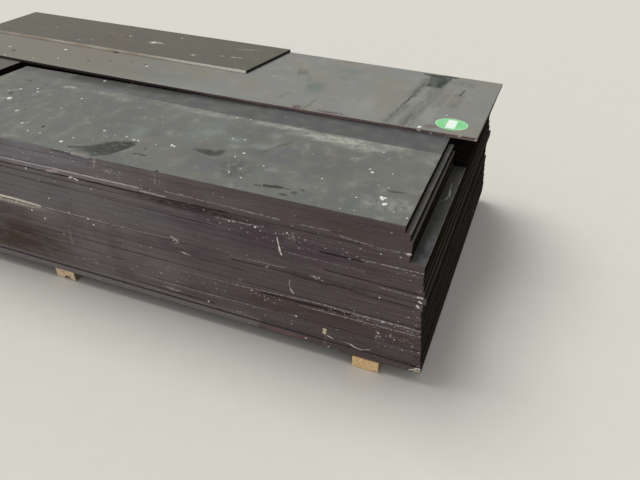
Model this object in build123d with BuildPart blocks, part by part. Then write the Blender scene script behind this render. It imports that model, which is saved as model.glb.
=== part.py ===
from build123d import *
import math
import os

os.makedirs("parts", exist_ok=True)

# A stack of film-faced plywood, in millimetres. The origin is on the floor under the middle of
# the lower packet, +X runs along the sheets to the right and +Y runs from the front to the back.

# Full sheets of the lower packet
sheet_length = 2500.0
sheet_depth = 1250.0
sheet_thickness = 24.0
sheet_count = 18

# Bearers that carry the stack. Their front ends stand proud of the sheets or back from them
bearer_width = 95.0
bearer_height = 50.0
bearer_length = 1245.0
bearer_round = 1.5
bearer_right_inset = 159.0
bearer_spacing = 1270.0
bearer_left_inset = 180.0
bearer_proud = 5.0
middle_bearer_set_back = 5.0

# Clearance between pieces that lie on each other
lie_gap = 0.3

# Front packet of cut sheets, and the cut-offs left of it. The cut between them runs askew
packet_count = 5
front_depth = 600.0
front_length = 1962.0
front_set_back = 70.0
cut_skew = 5.0
offcut_length = 400.0
offcut_gap = 66.0
offcut_back_gap = 4.0

# Back packet, behind the front one
back_depth = 515.0
back_length = 2490.0
back_gap = 27.0
back_turn = -0.5

# Thin board on the back packet. It laps a little over the front packet, and its front edge is bowed
board_length = 2500.0
board_depth = 560.0
board_thickness = 12.0
board_turn = -1.24
board_overhang = 22.0
board_lap = 2.0
board_front_bow = 20.0
board_back_skew = 0.66

# Thin narrow strip on the board, with its right end cut askew
strip_depth = 338.0
strip_thickness = 12.0
strip_turn = -1.9
strip_end_skew = 8.4
strip_set_back = 236.0
strip_right_inset = 1038.0

# Oval label on the board
label_length = 118.0
label_depth = 98.0
label_thickness = 0.3
label_inset = 108.0
label_set_back = 31.0

# How each sheet lies out of line, from the top one down: to the right, to the front, and turned
full_end_shift = [-2, -2, -1, 2, 8, 16, 8, 5, 8, 10, 13, 15, 18, 20, 22, 23, 26, 28]
full_front_shift = [0, 2, 0, 1, -1, -2, 1, 1, -1, 0, 5, 2, 1, -2, 1, 3, -5, 1]
full_turn = [0, -0.05, 0.03, 0, 0.05, 0.06, 0, -0.04, 0.03, 0.05, -0.1, 0, 0.05, 0.06, 0, -0.04, 0, 0.05]
front_end_shift = [0, 17, 25, 24, 22]
front_front_shift = [0, 1, 0, -2, 1]
front_turn = [0, 0, 0.02, 0.2, -0.15]
offcut_front_shift = [0, 2, -1, 1, 3]
back_end_shift = [22, 18, 12, 5, -1]

# Places worked out from the sizes above
right_end = sheet_length / 2
front_edge = -sheet_depth / 2
pitch = sheet_thickness + lie_gap
full_top = bearer_height + sheet_count * pitch
packet_top = full_top + packet_count * pitch
front_right_end = right_end - front_set_back
front_left_end = front_right_end - front_length
offcut_right_end = front_left_end - offcut_gap
back_front_edge = front_edge + front_depth + back_gap
back_packet_run = (right_end - front_left_end) * math.tan(math.radians(back_turn))
offcut_front_edge = back_front_edge - back_packet_run - offcut_back_gap - front_depth
board_bottom = packet_top + lie_gap
board_top = board_bottom + board_thickness
board_corner = (right_end + board_overhang, front_edge + front_depth - board_lap)


def beside(corner, along, across, turn):
    # The point so far along and across from a corner, on a piece turned by so many degrees
    angle = math.radians(turn)
    x = corner[0] + along * math.cos(angle) - across * math.sin(angle)
    y = corner[1] + along * math.sin(angle) + across * math.cos(angle)
    return x, y


def write_piece(name, piece):
    piece.part.label = name
    export_step(piece.part, f"parts/{name}.step")


def lay_sheet(name, length, depth, thickness, corner, bottom, turn=0.0, left_skew=0.0, right_skew=0.0):
    # One flat sheet, placed by its front right corner. Either end can be cut askew
    left_run = depth * math.tan(math.radians(left_skew))
    right_run = depth * math.tan(math.radians(right_skew))
    outline = [(0, 0), (right_run, depth), (left_run - length, depth), (-length, 0)]
    with BuildPart() as sheet:
        with BuildSketch(Plane(origin=(*corner, bottom)).rotated((0, 0, turn))):
            with BuildLine():
                Polyline(*outline, close=True)
            make_face()
        extrude(amount=thickness)
    write_piece(name, sheet)


# Lower packet of full sheets, the first one at the top
for number in range(sheet_count):
    layer = f"{number + 1:02d}"
    bottom = full_top - (number + 1) * pitch + lie_gap
    corner = (right_end + full_end_shift[number], front_edge - full_front_shift[number])
    turn = full_turn[number]
    lay_sheet(f"full_sheet_{layer}", sheet_length, sheet_depth, sheet_thickness, corner, bottom, turn)

# Front packet, its cut-offs and the back packet share their levels
for number in range(packet_count):
    layer = f"{number + 1:02d}"
    bottom = packet_top - (number + 1) * pitch + lie_gap
    end_shift = front_end_shift[number]
    corner = (front_right_end + end_shift, front_edge - front_front_shift[number])
    turn = front_turn[number]
    lay_sheet(f"front_sheet_{layer}", front_length, front_depth, sheet_thickness, corner, bottom, turn,
              left_skew=cut_skew)
    corner = (offcut_right_end - end_shift, offcut_front_edge - offcut_front_shift[number])
    lay_sheet(f"offcut_{layer}", offcut_length, front_depth, sheet_thickness, corner, bottom,
              right_skew=cut_skew)
    corner = (right_end + back_end_shift[number], back_front_edge)
    lay_sheet(f"back_sheet_{layer}", back_length, back_depth, sheet_thickness, corner, bottom, back_turn)

# Thin board, slightly turned on the packets
board_back_run = board_length * math.tan(math.radians(board_back_skew))
board_left_depth = board_depth + board_back_run
with BuildPart() as top_board:
    with BuildSketch(Plane(origin=(*board_corner, board_bottom)).rotated((0, 0, board_turn))):
        with BuildLine():
            ThreePointArc((-board_length, 0), (-board_length / 2, -board_front_bow), (0, 0))
            Polyline((0, 0), (0, board_depth), (-board_length, board_left_depth), (-board_length, 0))
        make_face()
    extrude(amount=board_thickness)
write_piece("top_board", top_board)

# The strip reaches as far left as the board's far corner reaches right, so the origin stays midway
strip_corner = beside(board_corner, -strip_right_inset, strip_set_back, board_turn)
board_far_corner = beside(board_corner, 0, board_depth, board_turn)
strip_length = (strip_corner[0] + board_far_corner[0]) / math.cos(math.radians(strip_turn))
strip_bottom = board_top + lie_gap
lay_sheet("top_strip", strip_length, strip_depth, strip_thickness, strip_corner, strip_bottom, strip_turn,
          right_skew=strip_end_skew)

# Oval label near the board's right front corner
label_centre = beside(board_corner, -label_inset, label_set_back + label_depth / 2, board_turn)
with BuildPart() as oval_label:
    with BuildSketch(Plane(origin=(*label_centre, board_top)).rotated((0, 0, board_turn))):
        Ellipse(label_length / 2, label_depth / 2)
    extrude(amount=label_thickness)
write_piece("oval_label", oval_label)

# Bearers across the stack, right to left
bearer_right_x = right_end - bearer_right_inset
bearer_places = {
    "bearer_right": (bearer_right_x, front_edge - bearer_proud),
    "bearer_middle": (bearer_right_x - bearer_spacing, front_edge + middle_bearer_set_back),
    "bearer_left": (-right_end + bearer_left_inset, front_edge - bearer_proud),
}
for name, place in bearer_places.items():
    with BuildPart() as bearer:
        with BuildSketch(Plane.XY):
            with Locations(place):
                Rectangle(bearer_width, bearer_length, align=(Align.CENTER, Align.MIN))
        extrude(amount=bearer_height)
        fillet(bearer.edges().filter_by(Axis.Y), bearer_round)
    write_piece(name, bearer)
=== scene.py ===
import math

import bmesh
import bpy
import numpy as np
from mathutils import Matrix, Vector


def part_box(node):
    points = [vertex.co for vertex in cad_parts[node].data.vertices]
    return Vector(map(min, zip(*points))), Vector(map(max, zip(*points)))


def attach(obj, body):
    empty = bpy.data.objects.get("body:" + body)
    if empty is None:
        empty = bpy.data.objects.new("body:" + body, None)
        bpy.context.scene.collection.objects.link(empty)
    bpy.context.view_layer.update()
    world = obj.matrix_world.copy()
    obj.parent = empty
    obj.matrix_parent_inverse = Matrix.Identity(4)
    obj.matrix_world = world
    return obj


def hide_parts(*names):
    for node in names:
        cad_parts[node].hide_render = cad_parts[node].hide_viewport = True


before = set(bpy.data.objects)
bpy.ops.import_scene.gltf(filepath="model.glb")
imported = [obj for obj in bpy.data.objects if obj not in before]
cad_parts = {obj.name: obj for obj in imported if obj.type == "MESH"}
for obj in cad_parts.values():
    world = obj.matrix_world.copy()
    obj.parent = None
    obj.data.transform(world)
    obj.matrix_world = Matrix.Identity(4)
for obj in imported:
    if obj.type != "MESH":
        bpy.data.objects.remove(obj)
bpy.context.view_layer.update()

# Marks are placed in millimetres from the lower packet's front right corner: x is negative to
# the left, y runs to the back and z is the height above the floor
mm = 0.001
stackCorner = (1.25, -0.625, 0.0)        # metres, in the frame's own axes
organicIor = 1.5                         # phenolic resin, wood, paper and plaster all lie near it


def linear(hexColour):                   # an sRGB hex as the linear colour that the shaders take
    channels = [int(hexColour[i:i + 2], 16) / 255 for i in (1, 3, 5)]
    return tuple(c / 12.92 if c <= 0.04045 else ((c + 0.055) / 1.055) ** 2.4 for c in channels) + (1.0,)


def addNode(tree, kind, inputs=(), output=0, **settings):
    # one node with its settings, and its inputs in their order or by name: a socket is linked, a
    # hex word is a colour and anything else is set. Gives the output that is asked for
    node = tree.nodes.new("ShaderNode" + kind)
    for key, value in settings.items():
        setattr(node, key, value)
    for key, value in inputs.items() if isinstance(inputs, dict) else enumerate(inputs):
        if isinstance(value, bpy.types.NodeSocket):
            tree.links.new(value, node.inputs[key])
        else:
            node.inputs[key].default_value = linear(value) if isinstance(value, str) else value
    return node.outputs[output]


def mask(tree, value, low, high, least=0.0, most=1.0, *gates):
    # goes smoothly from least to most as the value goes from low to high, times each gate
    share = addNode(tree, "MapRange", (value, low, high, least, most), interpolation_type="SMOOTHSTEP")
    for gate in gates:
        share = addNode(tree, "Math", (share, gate), operation="MULTIPLY")
    return share


def layer(tree, under, over, share, *span):
    # lays one colour over another, by a share or by the mask that a span makes of a pattern
    if span:
        share = mask(tree, share, *span)
    return addNode(tree, "Mix", {0: share, 6: under, 7: over}, 2, data_type="RGBA")


def grain(tree, place, sizes, detail=3.0, rough=0.55, output="Fac"):
    # noise whose blotches are about as large, along each axis, as the sizes given in millimetres
    sizes = sizes if isinstance(sizes, tuple) else (sizes,) * 3
    stretched = addNode(tree, "VectorMath", (place, [1 / size for size in sizes]), operation="MULTIPLY")
    noise = {"Vector": stretched, "Scale": 1.0, "Detail": detail, "Roughness": rough}
    return addNode(tree, "TexNoise", noise, output)


def jittered(tree, place, size, reach):
    # the same place moved about by up to reach millimetres, so that marks get ragged rims
    drift = grain(tree, place, size, 3.0, 0.6, "Color")
    centred = addNode(tree, "VectorMath", (drift, (0.5, 0.5, 0.5)), operation="SUBTRACT")
    scaled = addNode(tree, "VectorMath", {0: centred, "Scale": reach * 2}, operation="SCALE")
    return addNode(tree, "VectorMath", (place, scaled), operation="ADD")


def flattened(tree, place, upright):     # drops the axis that marks on a face don't use
    keep = (1.0, 0.0, 1.0) if upright else (1.0, 1.0, 0.0)
    return addNode(tree, "VectorMath", (place, keep), operation="MULTIPLY")


def facing(tree, axis):                  # how far a surface faces along +x, +y or +z
    return addNode(tree, "SeparateXYZ", [addNode(tree, "NewGeometry", (), "Normal")], axis)


def specks(tree, place, scale, spread, least, share):
    # a round speck in some cells of a pattern, each of its own size, and a number for each cell
    cells = addNode(tree, "TexVoronoi", {"Vector": place, "Scale": scale}).node.outputs
    chance = addNode(tree, "SeparateColor", [cells["Color"]]).node.outputs
    size = addNode(tree, "Math", (chance[1], spread, least), operation="MULTIPLY_ADD")
    inside = addNode(tree, "Math", (cells["Distance"], size), operation="LESS_THAN")
    chosen = addNode(tree, "Math", (chance[0], share), operation="LESS_THAN")
    return addNode(tree, "Math", (inside, chosen), operation="MULTIPLY"), chance[2]


def markGroup(name, vectors, numbers):   # an empty group with its inputs and one output, Mask
    tree = bpy.data.node_groups.new(name, "ShaderNodeTree")
    for sockets, kind in ((vectors, "NodeSocketVector"), (numbers, "NodeSocketFloat")):
        for socket in sockets:
            tree.interface.new_socket(socket, in_out="INPUT", socket_type=kind)
    tree.interface.new_socket("Mask", in_out="OUTPUT", socket_type="NodeSocketFloat")
    return tree, tree.nodes.new("NodeGroupInput").outputs, tree.nodes.new("NodeGroupOutput").inputs[0]


def makeOvalGroup():                     # an oval mark: 1 inside, 0 outside, with a soft rim
    tree, given, result = markGroup("ovalMark", ["Place", "Centre", "Half size", "Turn"], ["Soft"])
    away = addNode(tree, "VectorMath", (given["Place"], given["Centre"]), operation="SUBTRACT")
    turned = addNode(tree, "VectorRotate", {"Vector": away, "Rotation": given["Turn"]},
                     rotation_type="EULER_XYZ")
    scaled = addNode(tree, "VectorMath", (turned, given["Half size"]), operation="DIVIDE")
    reach = addNode(tree, "VectorMath", [scaled], "Value", operation="LENGTH")
    inner = addNode(tree, "Math", (1.0, given["Soft"]), operation="SUBTRACT")
    outer = addNode(tree, "Math", (1.0, given["Soft"]), operation="ADD")
    tree.links.new(mask(tree, reach, outer, inner), result)
    return tree


def makeStrokeGroup():
    # a mark drawn from start to end, as wide as its half width on each side
    tree, given, result = markGroup("strokeMark", ["Place", "Start", "End"], ["Half width", "Soft"])
    away = addNode(tree, "VectorMath", (given["Place"], given["Start"]), operation="SUBTRACT")
    along = addNode(tree, "VectorMath", (given["End"], given["Start"]), operation="SUBTRACT")
    dot = addNode(tree, "VectorMath", (away, along), "Value", operation="DOT_PRODUCT")
    square = addNode(tree, "VectorMath", (along, along), "Value", operation="DOT_PRODUCT")
    share = addNode(tree, "Math", (dot, square), operation="DIVIDE", use_clamp=True)
    nearest = addNode(tree, "VectorMath", {0: along, "Scale": share}, operation="SCALE")
    gap = addNode(tree, "VectorMath", (away, nearest), "Value", operation="DISTANCE")
    width = given["Half width"]
    outer = addNode(tree, "Math", (width, given["Soft"], width), operation="MULTIPLY_ADD")
    inner = addNode(tree, "Math", (width, 0.4), operation="MULTIPLY")
    tree.links.new(mask(tree, gap, outer, inner), result)
    return tree


ovalGroup = makeOvalGroup()
strokeGroup = makeStrokeGroup()


def drawMarks(tree, place, marks, upright):
    # ovals are (x, y, half length, half width, turn in degrees, strength, softness), strokes are
    # (x, y, x, y, half width, strength, softness) and shapes are (strength, softness, corners
    # anticlockwise). On an upright face y stands for the height
    lay = (lambda a, b: (a, 0.0, b)) if upright else (lambda a, b: (a, b, 0.0))
    drawn = []
    for x, y, halfLength, halfWidth, turn, strength, soft in marks.get("ovals", []):
        angle = math.radians(turn)
        spin = (0.0, angle, 0.0) if upright else (0.0, 0.0, -angle)
        size = [v if v else 1.0 for v in lay(halfLength, halfWidth)]
        oval = addNode(tree, "Group", {"Place": place, "Centre": lay(x, y), "Half size": size,
                                       "Turn": spin, "Soft": soft}, node_tree=ovalGroup)
        drawn.append((oval, strength))
    for x1, y1, x2, y2, halfWidth, strength, soft in marks.get("strokes", []):
        stroke = addNode(tree, "Group", {"Place": place, "Start": lay(x1, y1), "End": lay(x2, y2),
                                         "Half width": halfWidth, "Soft": soft}, node_tree=strokeGroup)
        drawn.append((stroke, strength))
    for strength, soft, corners in marks.get("shapes", []):
        nearest = None
        for (x1, y1), (x2, y2) in zip(corners, corners[1:] + corners[:1]):
            length = math.hypot(x2 - x1, y2 - y1)
            inward = lay((y1 - y2) / length, (x2 - x1) / length)
            away = addNode(tree, "VectorMath", (place, lay(x1, y1)), operation="SUBTRACT")
            inside = addNode(tree, "VectorMath", (away, inward), "Value", operation="DOT_PRODUCT")
            if nearest is not None:
                inside = addNode(tree, "Math", (nearest, inside), operation="MINIMUM")
            nearest = inside
        drawn.append((mask(tree, nearest, -soft, soft), strength))
    total = None
    for mark, strength in drawn:         # where marks meet, the strongest shows
        scaled = addNode(tree, "Math", (mark, strength), operation="MULTIPLY")
        total = scaled if total is None else addNode(tree, "Math", (total, scaled), operation="MAXIMUM")
    return total


def paintMarks(tree, colour, place, groups, upright, gate=None):
    # each group of marks is painted over the last, in its own colour and broken up by noise
    for marks in groups:
        share = drawMarks(tree, place, marks, upright)
        if "broken" in marks:
            sizes, low, high = marks["broken"]
            share = mask(tree, grain(tree, place, sizes, 3.0, 0.7), low, high, 0.0, 1.0, share)
        if gate is not None:
            share = addNode(tree, "Math", (share, gate), operation="MULTIPLY")
        colour = layer(tree, colour, marks["colour"], share)
    return colour


def layChips(tree, colour, raw):         # raw wood shows where the mesh is chipped
    chip = addNode(tree, "Attribute", (), "Fac", attribute_name="chip")
    return layer(tree, colour, raw, chip, 0.35, 0.6)


def startMaterial(name):                 # a new material, and the place on the stack in millimetres
    material = bpy.data.materials.new(name)
    material.use_nodes = True
    tree = material.node_tree
    tree.nodes.clear()
    atOrigin = addNode(tree, "TexCoord", (), "Object")
    fromCorner = addNode(tree, "VectorMath", (atOrigin, stackCorner), operation="SUBTRACT")
    place = addNode(tree, "VectorMath", {0: fromCorner, "Scale": 1 / mm}, operation="SCALE")
    return material, tree, place


def finishMaterial(material, colour, roughness, height=None, strength=0.0, depth=0.8, gloss=0.5):
    # the shader, with relief up to so many millimetres deep where a height is given
    tree = material.node_tree
    inputs = {"Base Color": colour, "Roughness": roughness, "IOR": organicIor, "Specular IOR Level": gloss}
    if height is not None:
        relief = {"Height": height, "Strength": strength, "Distance": depth * mm}
        inputs["Normal"] = addNode(tree, "Bump", relief)
    output = tree.nodes.new("ShaderNodeOutputMaterial")
    tree.links.new(addNode(tree, "BsdfPrincipled", inputs), output.inputs[0])
    return material


# Phenolic film pressed onto the face of formwork plywood: smooth and dark brown when clean, but
# here it lies under years of grey-green site dust, so it looks matt and cloudy
frontPacketFilm = {
    "film": "#454548", "grain": "#4b4d47", "veneer": "#cbbfa6", "speck": "#dad9ce",
    "dust": "#70726a", "warmDust": "#757167", "coolDust": "#696b69", "paleDust": "#a2a398",
    "cover": (0.72, 1.0),                # the least and the most dust
    "cloudSize": 260, "smudgeSize": 60, "gritSize": 3.4, "ragged": (9, 3),
    "speckCell": 30, "speckShare": 0.46, "roughClean": 0.42, "roughDusty": 0.78,
    "wipeLine": 459.0, "wipeLineBend": 2.05e-5,    # behind this bowed line the film is nearly clean
    "marks": [
        # hazy tints in the dust
        {"colour": "#858f88", "broken": ((60, 80, 60), 0.25, 0.70),
         "ovals": [(-890, 320, 70, 52, 60, 0.6, 0.9), (-650, 285, 60, 20, 10, 0.45, 0.9),
                   (-757, 299, 40, 18, 0, 0.5, 0.9), (-1110, 228, 30, 48, 15, 0.4, 0.9)]},
        {"colour": "#5f5e64", "broken": ((40, 60, 40), 0.30, 0.62),
         "ovals": [(-745, 372, 110, 42, 20, 0.5, 0.8), (-552, 258, 44, 62, -15, 0.8, 0.6),
                   (-770, 95, 62, 45, 0, 0.6, 0.7), (-790, 45, 50, 30, 0, 0.4, 0.8)]},
        # dust worn off by boots and battens: dark, greenish and streaky
        {"colour": "#30332d", "broken": ((30, 9, 26), 0.18, 0.56),
         "ovals": [(-1128, 84, 74, 44, 42, 1.0, 0.24), (-1166, 58, 54, 26, 24, 0.9, 0.4),
                   (-1092, 122, 34, 20, 48, 1.0, 0.3), (-1208, 38, 26, 9, 8, 0.6, 0.7)]},
        {"colour": "#2b2e28", "broken": ((14, 14, 14), 0.30, 0.45),
         "strokes": [(-1150, 14, -1100, 40, 5, 0.7, 0.8), (-1100, 45, -1064, 130, 5, 0.8, 0.8),
                     (-1262, 36, -1200, 60, 5, 0.7, 0.9), (-1028, 80, -983, 77, 4.5, 0.9, 0.5),
                     (-860, 184, -820, 172, 4, 0.5, 0.9),
                     (-556, 46, -527, 50, 6, 0.7, 0.7), (-535, 49, -478, 60, 8, 0.95, 0.6),
                     (-475, 60, -452, 60, 4, 0.5, 0.9), (-635, 248, -572, 355, 6, 0.3, 0.9),
                     (-1800, 12, -1255, -2, 6, 0.3, 0.8)],
         "ovals": [(-457, 28, 13, 6, 0, 0.7, 0.5), (-429, 46, 10, 9, 30, 0.7, 0.4),
                   (-411, 72, 8, 7, 0, 0.6, 0.4), (-147, 166, 26, 5, 5, 0.6, 0.5)]},
        {"colour": "#2f3230", "broken": ((26, 10, 26), 0.20, 0.52),
         "ovals": [(-797, 178, 38, 18, -6, 0.9, 0.4), (-768, 188, 15, 26, -20, 0.8, 0.5),
                   (-830, 183, 22, 9, -12, 0.6, 0.7)]},
        # painted shade: a dark band along the back of the top, darkest at the left, where the board's front
        # edge shades it
        {"colour": "#202220", "broken": ((90, 60, 90), 0.20, 0.45),
         "strokes": [(-1660, 580, -1150, 590, 34, 0.9, 0.9), (-1150, 590, -800, 598, 20, 0.7, 0.9),
                     (-800, 598, -300, 602, 7, 0.5, 0.9)]},
        {"colour": "#44474a", "broken": ((26, 26, 26), 0.42, 0.56),
         "ovals": [(-668, 112, 52, 58, 15, 0.6, 0.5)]},
        {"colour": "#151512",
         "ovals": [(-1806, 329, 6, 11, 0, 1.0, 0.25), (-1456, 129, 5, 8, 0, 1.0, 0.3),
                   (-1837, 466, 6, 8, 0, 0.8, 0.4), (-1631, 222, 5, 7, 0, 0.7, 0.4),
                   (-1010, 119, 5, 5, 0, 0.7, 0.4), (-1736, 455, 5, 6, 0, 0.7, 0.4),
                   (-887, 4, 7, 7, 0, 0.9, 0.4)]},
        # dust lying thicker, and wiped plaster
        {"colour": "#a4a498", "broken": ((30, 18, 30), 0.32, 0.60),
         "ovals": [(-648, 455, 100, 16, 0, 0.6, 0.7), (-430, 430, 130, 26, 3, 1.0, 0.6),
                   (-331, 412, 66, 34, 0, 0.7, 0.7), (-960, 452, 80, 14, 0, 0.5, 0.7),
                   (-1630, 470, 30, 12, 0, 0.9, 0.5), (-1450, 470, 60, 10, 0, 0.4, 0.7)]},
        {"colour": "#c9c9bd", "broken": ((16, 16, 16), 0.36, 0.60),
         "ovals": [(-140, 92, 66, 32, 10, 0.24, 0.9)],
         "strokes": [(-1841, 349, -1804, 376, 3, 0.8, 0.7), (-1812, 274, -1790, 290, 3, 0.7, 0.7),
                     (-1548, 120, -1535, 145, 4, 0.6, 0.7), (-1600, 3, -1540, 3, 2.5, 0.5, 0.8),
                     (-1250, 4, -1130, 4, 2.5, 0.3, 0.9)]},
    ],
}


def sweepDust(tree, place, look, smudge, cover, dust):
    # a board lay behind a bowed line, so hardly any dust is there. Just before the line the dust
    # is palest, less so towards the left
    axes = addNode(tree, "SeparateXYZ", [jittered(tree, place, 18, 2)]).node.outputs
    square = addNode(tree, "Math", (axes["X"], axes["X"]), operation="MULTIPLY")
    line = addNode(tree, "Math", (square, look["wipeLineBend"], look["wipeLine"]),
                   operation="MULTIPLY_ADD")
    behind = addNode(tree, "Math", (axes["Y"], line), operation="SUBTRACT")
    fuzzy = mask(tree, axes["X"], -1300.0, -1600.0, 3.0, 40.0)
    clean = mask(tree, addNode(tree, "Math", (behind, fuzzy), operation="DIVIDE"), -1.0, 1.0)
    bare = mask(tree, smudge, 0.3, 0.7, 0.97, 0.72, clean)
    dustLeft = addNode(tree, "Math", (1.0, bare), operation="SUBTRACT")
    before = addNode(tree, "Math", (1.0, clean), operation="SUBTRACT")
    ridge = mask(tree, behind, -75.0, -4.0, 0.0, 0.55, before)
    ridge = mask(tree, smudge, 0.36, 0.60, 0.15, 1.0, ridge)
    ridge = mask(tree, axes["X"], -1500.0, -500.0, 0.3, 1.0, ridge)
    cover = addNode(tree, "Math", (cover, dustLeft), operation="MULTIPLY")
    return cover, layer(tree, dust, look["paleDust"], ridge)


def dustyFilm(name, look):
    material, tree, place = startMaterial(name)
    cloud = grain(tree, place, look["cloudSize"])
    smudge = grain(tree, place, look["smudgeSize"], 5.0, 0.65)
    grit = grain(tree, place, look["gritSize"], 3.0, 0.65)
    tint = grain(tree, jittered(tree, place, 60, 40), look["cloudSize"] * 0.45, 2.0, output="Color")
    tints = addNode(tree, "SeparateColor", [tint]).node.outputs

    # clouds of dust in three tints, over the film
    half = addNode(tree, "Math", (cloud, 0.5), operation="MULTIPLY")
    mixed = addNode(tree, "Math", (smudge, 0.5, half), operation="MULTIPLY_ADD")
    cover = mask(tree, mixed, 0.36, 0.58, *look["cover"])
    dust = layer(tree, look["dust"], look["warmDust"], tints[0], 0.45, 0.70, 0.0, 0.75)
    dust = layer(tree, dust, look["coolDust"], tints[1], 0.45, 0.70, 0.0, 0.75)
    dust = layer(tree, dust, look["paleDust"], smudge, 0.52, 0.75, 0.0, 0.4)
    if "wipeLine" in look:
        cover, dust = sweepDust(tree, place, look, smudge, cover, dust)
    colour = layer(tree, look["film"], dust, cover)
    colour = layer(tree, colour, look["grain"], grit, 0.36, 0.58, 0.42, 0.0, cover)
    colour = layer(tree, colour, look["paleDust"], grit, 0.60, 0.78, 0.0, 0.55, cover)
    reach, fineReach = look["ragged"]
    ragged = flattened(tree, jittered(tree, jittered(tree, place, 30, reach), 7, fineReach), False)
    colour = paintMarks(tree, colour, ragged, look["marks"], False)

    # plaster specks, one here and there in a cell of the pattern
    flat = flattened(tree, place, False)
    speck = specks(tree, flat, 1 / look["speckCell"], 0.05, 0.03, look["speckShare"])[0]
    share = addNode(tree, "Math", (speck, 0.85), operation="MULTIPLY")
    colour = layer(tree, colour, look["speck"], share)

    if "rim" in look:                    # paint from the edges has run onto the face's front rim
        depth = addNode(tree, "SeparateXYZ", [jittered(tree, place, 12, 4)], "Y")
        rim = mask(tree, depth, 20.0, 10.0)
        colour = layer(tree, colour, look["rim"], smudge, 0.3, 0.6, 0.55, 1.0, rim)
    if look.get("endRim"):               # and, darker, onto the ledges at the right ends
        sideways = addNode(tree, "SeparateXYZ", [place], "X")
        colour = layer(tree, colour, look["endRim"], sideways, -14.0, -5.0, 0.0, 0.74)
    colour = layChips(tree, colour, look["veneer"])

    roughness = mask(tree, cover, 0.2, 0.9, look["roughClean"], look["roughDusty"])
    gritty = addNode(tree, "Math", (grit, cover), operation="MULTIPLY")
    height = addNode(tree, "Math", (speck, 1.2, gritty), operation="MULTIPLY_ADD")
    return finishMaterial(material, colour, roughness, height, 0.4, gloss=0.3)


# The thin board's film is paler and evener, with dark rubbed streaks and a greenish stain
boardFilm = {
    "film": "#45443f", "grain": "#66665f", "veneer": "#cbbfa6", "speck": "#dad9ce",
    "dust": "#83847e", "warmDust": "#878274", "coolDust": "#828480", "paleDust": "#9b9c94",
    "cover": (0.93, 1.0), "cloudSize": 320, "smudgeSize": 80, "gritSize": 3.4, "ragged": (10, 3),
    "speckCell": 60, "speckShare": 0.22, "roughClean": 0.5, "roughDusty": 0.72,
    "marks": [
        {"colour": "#746f63", "ovals": [(-2060, 760, 760, 170, 0, 0.8, 0.6)]},
        {"colour": "#969791", "broken": ((50, 200, 50), 0.3, 0.6),
         "ovals": [(-250, 878, 20, 120, 5, 0.8, 0.8), (-430, 700, 70, 90, 0, 0.4, 0.8),
                   (-180, 760, 20, 120, 5, 0.5, 0.8)]},
        {"colour": "#5f6a63", "broken": ((40, 60, 40), 0.30, 0.54),
         "ovals": [(-788, 971, 22, 32, 20, 0.9, 0.5), (-727, 893, 16, 48, 30, 0.4, 0.6),
                   (-678, 828, 38, 62, 10, 0.7, 0.5), (-607, 1059, 52, 26, 0, 0.4, 0.7),
                   (-595, 973, 36, 18, 0, 0.35, 0.7), (-1400, 690, 200, 60, 0, 0.25, 0.9)]},
        {"colour": "#5b5b55", "broken": ((30, 120, 30), 0.30, 0.55),
         "strokes": [(-206, 1000, -222, 846, 30, 0.45, 0.9), (-222, 846, -246, 616, 22, 0.6, 0.9),
                     (-264, 1085, -281, 887, 16, 0.7, 0.9), (-285, 780, -312, 616, 15, 0.5, 0.9),
                     (-107, 960, -114, 850, 18, 0.5, 0.9), (-155, 1000, -172, 820, 12, 0.35, 0.9),
                     (-140, 1098, -90, 1085, 22, 0.4, 0.9)]},
        {"colour": "#272a25", "broken": ((12, 60, 12), 0.32, 0.50),
         "strokes": [(-270, 1040, -281, 887, 4, 0.45, 0.9), (-281, 887, -297, 794, 4, 1.0, 0.6),
                     (-297, 794, -313, 618, 3, 0.45, 0.9), (-240, 720, -247, 612, 4, 0.35, 0.9),
                     (-101, 1020, -107, 958, 4, 0.8, 0.7), (-636, 603, -626, 705, 4, 0.35, 0.9),
                     (-770, 665, -750, 745, 4, 0.25, 0.9), (-290, 1144, -160, 1150, 9, 0.85, 0.6),
                     (-820, 1010, -800, 940, 4, 0.35, 0.8)]},
        {"colour": "#4c534d", "broken": ((22, 50, 22), 0.20, 0.42),
         "shapes": [(0.97, 4, [(-254, 1014), (-194, 1008), (-172, 1150), (-270, 1150)])]},
        {"colour": "#2b302a", "broken": ((30, 60, 30), 0.34, 0.56),
         "ovals": [(-205, 1085, 26, 84, -8, 0.95, 0.5), (-232, 1030, 30, 22, 0, 0.8, 0.5),
                   (-225, 1140, 52, 16, 0, 0.9, 0.5)]},
        {"colour": "#5a4446", "broken": ((14, 10, 14), 0.34, 0.50),
         "ovals": [(-665, 612, 18, 16, 0, 0.9, 0.4), (-531, 612, 52, 11, 0, 0.8, 0.6),
                   (-150, 636, 26, 16, 10, 0.6, 0.5), (-1180, 600, 30, 8, 0, 0.6, 0.6)]},
        {"colour": "#141310",
         "ovals": [(-2167, 718, 9, 9, 0, 0.95, 0.3), (-1746, 729, 6, 6, 0, 0.9, 0.3),
                   (-1659, 766, 6, 6, 0, 0.7, 0.3), (-1706, 874, 10, 8, 0, 0.9, 0.3),
                   (-1480, 792, 8, 5, 0, 0.9, 0.3), (-1560, 800, 6, 4, 0, 0.8, 0.3)]},
    ],
}

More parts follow.
